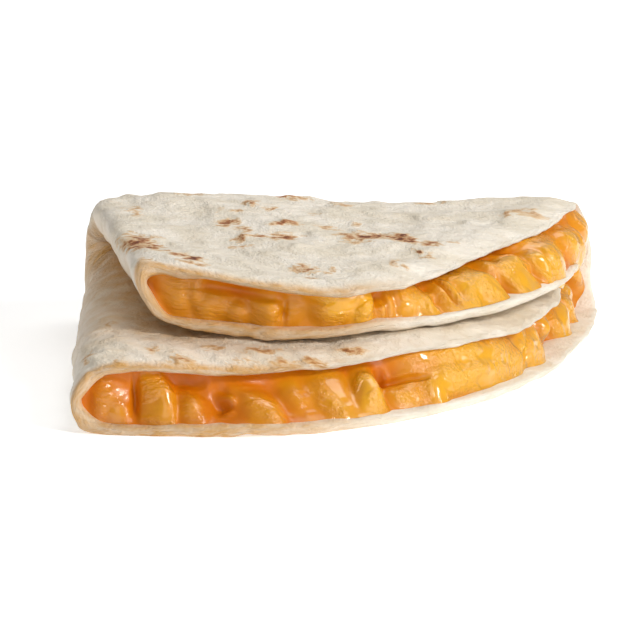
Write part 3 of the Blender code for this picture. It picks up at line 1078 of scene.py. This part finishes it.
@dataclass
class MeltedCheese:
    """The filling: one slab folded with the sheet, closed by the lumpy face at the open edge."""

    folds: TwoFolds
    finish: MeltedCheddarFinish
    sheet: Tortilla
    outer_margin: tuple[float, ...] = (1.0, 1.7, 4.0, 6.5, 3.6, 2.8, 3.0, 2.2, 1.4)
    inner_margin: tuple[float, ...] = (1.4, 1.7, 2.5, 3.5, 1.4, 1.0, 2.6, 2.4, 1.4)
    embed: float = 0.15 * MM
    columns: int = 900
    rows: int = 60
    rings: tuple[float, ...] = (0.03, 0.06, 0.1, 0.14, 0.19, 0.3, 0.5, 0.75, 0.9)
    coarseness: int = 4
    ground: float = 0.35
    sharpness: float = 1.7
    steepest: float = 0.8
    least_margin: float = 0.7
    sag: float = 0.8
    foot: tuple[float, float] = (0.12, 0.88)
    lumps: tuple[Lump, ...] = (
        # The lower layer, from its left end to the right.
        Lump(-86.0, 0.40, 4.8, 7.5, 3.0),
        Lump(-84.8, 0.20, 2.2, 3.4, 3.4),
        Lump(-81.0, 0.45, 3.6, 9.8, 3.6),
        Lump(-80.2, 0.28, 1.6, 5.3, 4.2),
        Lump(-77.5, 0.30, 3.7, 4.9, 3.0, 12),
        Lump(-81.8, 0.07, 2.9, 1.9, 1.8),
        Lump(-70.5, 0.28, 6.2, 6.4, 2.9),
        Lump(-69.8, 0.17, 2.6, 3.8, 3.5),
        Lump(-66.0, 0.50, 4.8, 9.1, 2.3),
        Lump(-71.8, 0.72, 4.5, 4.5, 1.4),
        Lump(-62.2, 0.35, 6.3, 10.6, 3.8),
        Lump(-61.8, 0.07, 2.9, 4.9, 4.3),
        Lump(-59.5, 0.23, 2.9, 7.5, 4.4, -30),
        Lump(-58.5, 0.30, 1.9, 4.2, 4.9),
        Lump(-54.0, 0.23, 6.5, 4.2, 3.6, 3),
        Lump(-50.8, 0.20, 2.9, 4.5, 4.6),
        Lump(-48.5, 0.40, 5.8, 4.9, 4.4),
        Lump(-44.2, 0.35, 15.8, 3.8, 5.6, -3, 2.6),
        Lump(-43.5, 0.75, 16.9, 3.4, 5.0, -8, 2.6),
        Lump(-50.8, 0.72, 6.5, 4.5, 3.0, -12),
        Lump(-37.2, 0.20, 5.9, 3.8, 5.0),
        Lump(-32.2, 0.45, 10.9, 6.8, 5.2),
        Lump(-31.0, 0.15, 5.9, 3.4, 5.6),
        Lump(-23.5, 0.47, 4.5, 3.4, 4.6),
        Lump(-17.8, 0.15, 6.4, 5.3, 5.2),
        Lump(-11.2, 0.33, 5.0, 4.2, 4.4),
        Lump(-16.0, 0.38, 3.5, 2.6, 4.6),
        Lump(-17.0, 0.4, 6.0, 5.0, 4.4),
        Lump(-8.5, 0.55, 5.5, 5.0, 4.0),
        # The upper layer, from its right end to the left.
        Lump(1.0, 0.45, 5.5, 5.0, 3.6),
        Lump(6.5, 0.7, 5.0, 5.0, 3.6),
        Lump(14.0, 0.5, 6.0, 6.0, 4.2),
        Lump(20.0, 0.8, 6.0, 6.0, 4.6),
        Lump(22.5, 0.55, 5.0, 6.0, 4.0),
        Lump(30.5, 0.72, 6.6, 9.1, 5.0),
        Lump(32.8, 0.72, 3.0, 4.5, 5.4),
        Lump(29.5, 0.12, 11.5, 5.3, 3.0, -28),
        Lump(39.2, 0.78, 5.8, 7.9, 4.8),
        Lump(39.5, 0.93, 2.8, 4.5, 5.3),
        Lump(39.0, 0.50, 6.2, 2.6, 4.4, 6),
        Lump(41.8, 0.40, 2.6, 3.0, 3.4),
        Lump(48.0, 0.65, 7.4, 8.3, 4.8),
        Lump(45.8, 0.82, 3.6, 6.4, 5.4),
        Lump(51.0, 1.00, 4.2, 2.6, 4.8),
        Lump(51.8, 0.62, 3.0, 4.5, 4.0),
        Lump(57.5, 0.57, 5.9, 7.5, 3.8),
        Lump(55.5, 0.82, 1.8, 4.5, 4.0),
        Lump(61.0, 0.68, 2.1, 3.0, 3.6),
        Lump(67.0, 0.35, 6.8, 6.8, 4.2, 0, 2.6),
        Lump(64.2, 0.57, 2.7, 4.5, 4.8),
        Lump(66.8, 0.00, 5.8, 2.3, 4.7),
        Lump(72.0, 0.60, 3.2, 6.0, 2.4),
        Lump(75.2, 0.60, 3.3, 4.9, 3.2),
        Lump(74.5, 0.68, 1.8, 3.0, 3.6),
        Lump(80.5, 0.60, 4.7, 4.5, 3.2, -10),
        Lump(81.5, 0.75, 2.2, 2.6, 3.5, -8),
        Lump(78.0, 0.75, 2.1, 2.3, 3.5, -6),
        Lump(85.2, 0.33, 4.2, 5.3, 3.2),
        Lump(84.8, 0.47, 2.1, 3.4, 3.7),
        Lump(82.8, 0.38, 1.4, 2.6, 3.4),
        Lump(84.2, 0.88, 3.0, 1.9, 1.8, -25),
    )
    pits: tuple[Lump, ...] = (
        Lump(-77.5, 0.90, 4.8, 2.6, 1.8),
        Lump(-74.2, 0.50, 2.3, 4.5, 1.2),
        Lump(-82.8, 0.53, 1.1, 7.5, 1.2),
        Lump(-55.8, 0.65, 1.7, 2.3, 2.0),
        Lump(-54.0, 0.55, 7.7, 1.1, 1.2, -4),
        Lump(-34.5, 0.40, 12.9, 1.1, 0.9, 35),
        Lump(-22.2, 0.28, 3.0, 6.0, 1.4, 20),
        Lump(61.8, 0.28, 2.1, 2.3, 2.0),
        Lump(61.0, 0.78, 0.8, 3.8, 1.2),
        Lump(52.0, 0.55, 1.0, 5.3, 1.8),
        Lump(38.2, 0.35, 6.2, 1.1, 1.0, -30),
        Lump(42.2, 0.90, 1.2, 4.5, 1.4),
        Lump(32.5, 0.78, 1.4, 6.8, 1.6),
        Lump(78.0, 0.23, 10.1, 1.5, 0.9),
        Lump(72.8, 0.70, 0.8, 3.8, 0.8),
    )
    crumbs: int = 46
    level: tuple[float, ...] = (2.4, 2.4, 1.9, 1.2, 0.2, -0.8, 1.4, 2.3, 2.4)

    def margin(self, angle: Array) -> Array:
        """Reads how far short of the sheet's rim the cheese stops, under its lumps.

        Args:
            angle: Degrees round the corner.

        Returns:
            Margins in millimetres, a little ragged.
        """
        turned = (angle + 90) % 360 - 90
        outer_side = turned <= 90
        station = (np.where(outer_side, turned, 180 - turned) + 90) / 22.5
        margin = np.where(
            outer_side, through(self.outer_margin, station), through(self.inner_margin, station)
        )
        return margin + 0.5 * unevenness(turned, turned * 0, 3.0, 31)

    def small_lumps(self) -> list[Lump]:
        """Scatters small lumps over the face, in a fixed order."""
        draw = np.random.default_rng(5)
        made = []
        for _ in range(self.crumbs):
            size = draw.uniform(0.8, 2.0)
            made.append(Lump(
                draw.uniform(-84, 84), draw.uniform(0.12, 0.88), size, size * draw.uniform(0.6, 0.9),
                draw.uniform(0.9, 2.6), draw.uniform(-30, 30),
            ))
        return [lump for lump in made if abs(lump.angle) > 14]

    def stand(self, angle: Array, share: Array, height: Array, length: Array) -> Array:
        """Works out how far the open face stands out, as the soft greatest of all its lumps.

        Two lumps join by adding their exponentials, so a rounded valley runs between them. Small
        ridges are then laid over the lumps, where the skin has crinkled.

        Args:
            angle: Degrees round the corner, one for each column.
            share: Shares of the way from the outer leaf to the inner one, one for each row.
            height: The face's height at each column, in millimetres.
            length: Distance from the corner at each column, in millimetres.

        Returns:
            How far each point stands out, in millimetres.
        """
        run, rise = np.radians(angle) * length, share * height
        wander = 0.6 * unevenness(run, rise, 5.0, 41, 1)
        total = np.full(run.shape if run.ndim == 2 else rise.shape, np.exp(self.sharpness * self.ground))
        for lump in (*self.lumps, *self.small_lumps()):
            sideways = np.radians(angle - lump.angle) * length + wander * 0.7
            upward = (share - lump.share) * height + wander * 0.35
            fallen = lump.depth(self.steepest) * lump.fall(sideways, upward)
            total = total + np.exp(self.sharpness * (lump.proud - fallen))
        proud = np.log(total) / self.sharpness
        for pit in self.pits:
            sideways, upward = np.radians(angle - pit.angle) * length, (share - pit.share) * height
            proud = proud - pit.proud * np.maximum(1 - pit.fall(sideways, upward), 0) ** 1.5
        proud = proud + 0.14 * unevenness(run, rise, 3.2, 44, 1)
        crinkled = smooth(-0.1, 0.5, unevenness(run, rise, 6.0, 45, 1))
        ridges = 1 - 2 * np.abs(unevenness(run * 0.8, rise, 1.7, 46, 1))
        return proud + 0.08 * crinkled * ridges

    def on_sheet(self, radius: Array, bearing: Array) -> Array:
        """Lays places of the flat sheet on its inner face, which its wrinkles move.

        Args:
            radius: Distances from the corner, in metres.
            bearing: Radians round the corner.

        Returns:
            Points, in a last axis of three.
        """
        across, along = radius * np.cos(bearing), radius * np.sin(bearing)
        inset = self.folds.sheet / 2 - self.embed - self.sheet.lifted(across, along)
        return self.folds.place(across, along, inset)

    def build(self) -> bpy.types.Object:
        """Builds the slab as rings round the corner, and the open face as a grid of rows.

        The slab's edges run out under the lumps, so that each lump sits on the sheet.

        Returns:
            The cheese.
        """
        angles = np.linspace(-90, 90, self.columns + 1)
        ring = np.concatenate([angles, 180 - angles[1:-1][::-1]])
        bearing = np.radians(ring)
        margin = self.margin(ring)
        radius = self.folds.outline(ring) - margin * MM
        rim = self.on_sheet(radius, bearing)
        coarse_ring = bearing[:: self.coarseness]
        rings = np.array(self.rings)[:, None] * radius[:: self.coarseness]
        slab = self.on_sheet(rings, coarse_ring)
        pole = self.on_sheet(np.zeros(1), np.zeros(1))

        inner = np.arange(1, self.columns)
        across = len(ring) - inner
        height = np.linalg.norm(rim[across] - rim[inner], axis=1) / MM
        length = self.folds.outline(angles[inner]) / MM
        share = np.linspace(0, 1, self.rows + 1)[1:-1, None]
        tips = smooth(90, 82, np.abs(angles[inner]))
        level = through(self.level, (angles[inner] + 90) / 22.5)
        lumpy = self.stand(angles[inner], share, height, length)
        proud = (lumpy - level) * (0.3 + 0.7 * tips)
        feet = proud[(np.array(self.foot) * self.rows).astype(int)] * tips
        most = np.stack([margin[inner], margin[across]]) - self.least_margin
        feet = np.clip(feet, 0, np.maximum(most, 0))
        feet = evened(feet.T).T
        for numbers, foot in ((inner, feet[0]), (across, feet[1])):
            rim[numbers] = self.on_sheet(radius[numbers] + foot * MM, bearing[numbers])

        # The open face: outward is square to its own run and to the line between the leaves.
        low, high = rim[inner], rim[across]
        outward = np.cross(evened(np.gradient((low + high) / 2, axis=0)), high - low)
        outward /= np.linalg.norm(outward, axis=1, keepdims=True)
        rest = proud - (feet[0] + (feet[1] - feet[0]) * share)
        rest = rest * np.sin(math.pi * share) ** 0.7
        face = low + (high - low) * share[..., None] + outward * rest[..., None] * MM
        # Where the upper layer stands out past the leaf under it, it hangs a little over the rim.
        hanging = np.maximum(proud - margin[across], 0) * smooth(0.3, 1.0, share) * smooth(0, 12, angles[inner])
        face[..., 2] -= self.sag * hanging * smooth(50, 26, angles[inner]) * MM

        points = np.concatenate([pole, slab.reshape(-1, 3), rim, face.reshape(-1, 3)])
        slab_numbers = 1 + np.arange(rings.size).reshape(rings.shape)
        rim_numbers = 1 + rings.size + np.arange(len(ring))
        face_numbers = 1 + rings.size + len(ring) + np.arange(proud.size).reshape(proud.shape)
        sheet_rows = np.concatenate([rim_numbers[None, inner], face_numbers, rim_numbers[None, across]])
        first = slab_numbers[0]
        faces = [
            grid_quads(sheet_rows),
            self.fan(rim_numbers[0], sheet_rows[:, 0]),
            self.fan(rim_numbers[self.columns], sheet_rows[:, -1])[:, ::-1],
            grid_quads(slab_numbers, closed=True),
            stitched(rim_numbers, slab_numbers[-1])[:, ::-1],
            np.stack([np.zeros_like(first), np.roll(first, -1), first], axis=1),
        ]

        behind = len(points) - face_numbers.size
        place = np.concatenate([points[:behind] / MM, np.stack([
            np.broadcast_to(np.radians(angles[inner]) * length, proud.shape),
            share * height, proud], axis=-1).reshape(-1, 3)])
        # Painted shade: the cheese is coloured deeper orange towards the left end, more on the lower layer.
        from_left = smooth(-52 * MM, 40 * MM, points[:, 0])
        in_lower = 1 - 0.8 * smooth(11 * MM, 16 * MM, points[:, 2])
        readings = {
            Reading.FACE.value: place,
            Reading.THICK.value: np.concatenate([np.full(behind, 0.3), np.clip(lumpy / 4.8, 0, 1).ravel()]),
            Reading.LEFT_SHADE.value: (1 - from_left) * in_lower,
        }
        piece = add_piece("melted_cheese", points, faces, self.finish.build(), readings)
        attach(piece, "root")
        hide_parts("cheese")
        return piece

    @staticmethod
    def fan(tip: int, side: Array) -> Array:
        """Joins a tip to a line of points by triangles, and gives them."""
        return np.stack([np.full(len(side) - 1, tip), side[:-1], side[1:]], axis=1)


# ---------------------------------------------------------------- the studio


@dataclass
class Studio:
    """A white paper floor, soft lights and the camera."""

    elevation: float = 13.5
    distance: float = 1.0
    lens: float = 292.5
    target: tuple[float, float, float] = (-4.5 * MM, 6.7 * MM, 7.9 * MM)
    floor_side: float = 6.0

    def lay_floor(self) -> None:
        """Lays the floor."""
        half = self.floor_side / 2
        corners = np.array([[-half, -half, 0], [half, -half, 0], [half, half, 0], [-half, half, 0]], float)
        floor = add_piece("floor", corners, [np.array([[0, 1, 2, 3]])], FloorFinish().build(), {})

    def add_light(self, name: str, place: tuple[float, float, float], side: float, power: float,
                  colour: str) -> None:
        """Adds one square soft light, aimed at the food.

        Args:
            name: The light's name.
            place: Where it hangs, in metres.
            side: Its side, in metres.
            power: Its power, in watts.
            colour: Its colour, in hex.
        """
        data = bpy.data.lights.new(name, "AREA")
        data.size = side
        data.energy = power
        data.color = linear(colour)[:3]
        light = bpy.data.objects.new(name, data)
        light.location = place
        aim = Vector(self.target) - Vector(place)
        light.rotation_euler = aim.to_track_quat("-Z", "Y").to_euler()
        bpy.context.scene.collection.objects.link(light)

    def light(self) -> None:
        """Hangs the lights and sets the even glow of the room."""
        self.add_light("key", (0.60, -0.42, 0.56), 0.22, 4.3, "#FFFCF8")
        self.add_light("low", (0.90, -0.45, 0.22), 0.35, 2.0, "#FFFEFC")
        self.add_light("top", (0.20, 0.35, 0.85), 0.60, 3.3, "#FFFDF9")
        self.add_light("front", (-0.10, -0.90, 0.40), 0.60, 1.3, "#FFFDF9")
        world = bpy.data.worlds.new("room")
        world.use_nodes = True
        glow = world.node_tree.nodes["Background"]
        glow.inputs["Color"].default_value = (1.0, 1.0, 1.0, 1.0)
        glow.inputs["Strength"].default_value = 0.26
        bpy.context.scene.world = world
        bpy.context.scene.view_settings.view_transform = "Standard"

    def place_camera(self) -> None:
        """Places the camera low in front of the open edge, with a long lens."""
        rise = math.radians(self.elevation)
        back = Vector((0.0, -math.cos(rise), math.sin(rise))) * self.distance
        data = bpy.data.cameras.new("camera")
        data.lens = self.lens
        camera = bpy.data.objects.new("camera", data)
        camera.location = Vector((self.target[0], self.target[1], 0.0)) + back
        aim = Vector(self.target) - camera.location
        camera.rotation_euler = aim.to_track_quat("-Z", "Y").to_euler()
        bpy.context.scene.collection.objects.link(camera)
        bpy.context.scene.camera = camera


def main() -> None:
    """Builds the studio and both pieces."""
    logging.basicConfig(level=logging.INFO, format="%(name)s: %(message)s")
    studio = Studio()
    studio.place_camera()
    studio.lay_floor()
    studio.light()
    sheet = Tortilla(FOLDS, FlourTortillaFinish())
    for maker in (sheet, MeltedCheese(FOLDS, MeltedCheddarFinish(), sheet)):
        piece = maker.build()
        LOG.info("%s: %d points, %d faces", piece.name, len(piece.data.vertices), len(piece.data.polygons))


if __name__ == "__main__":
    main()
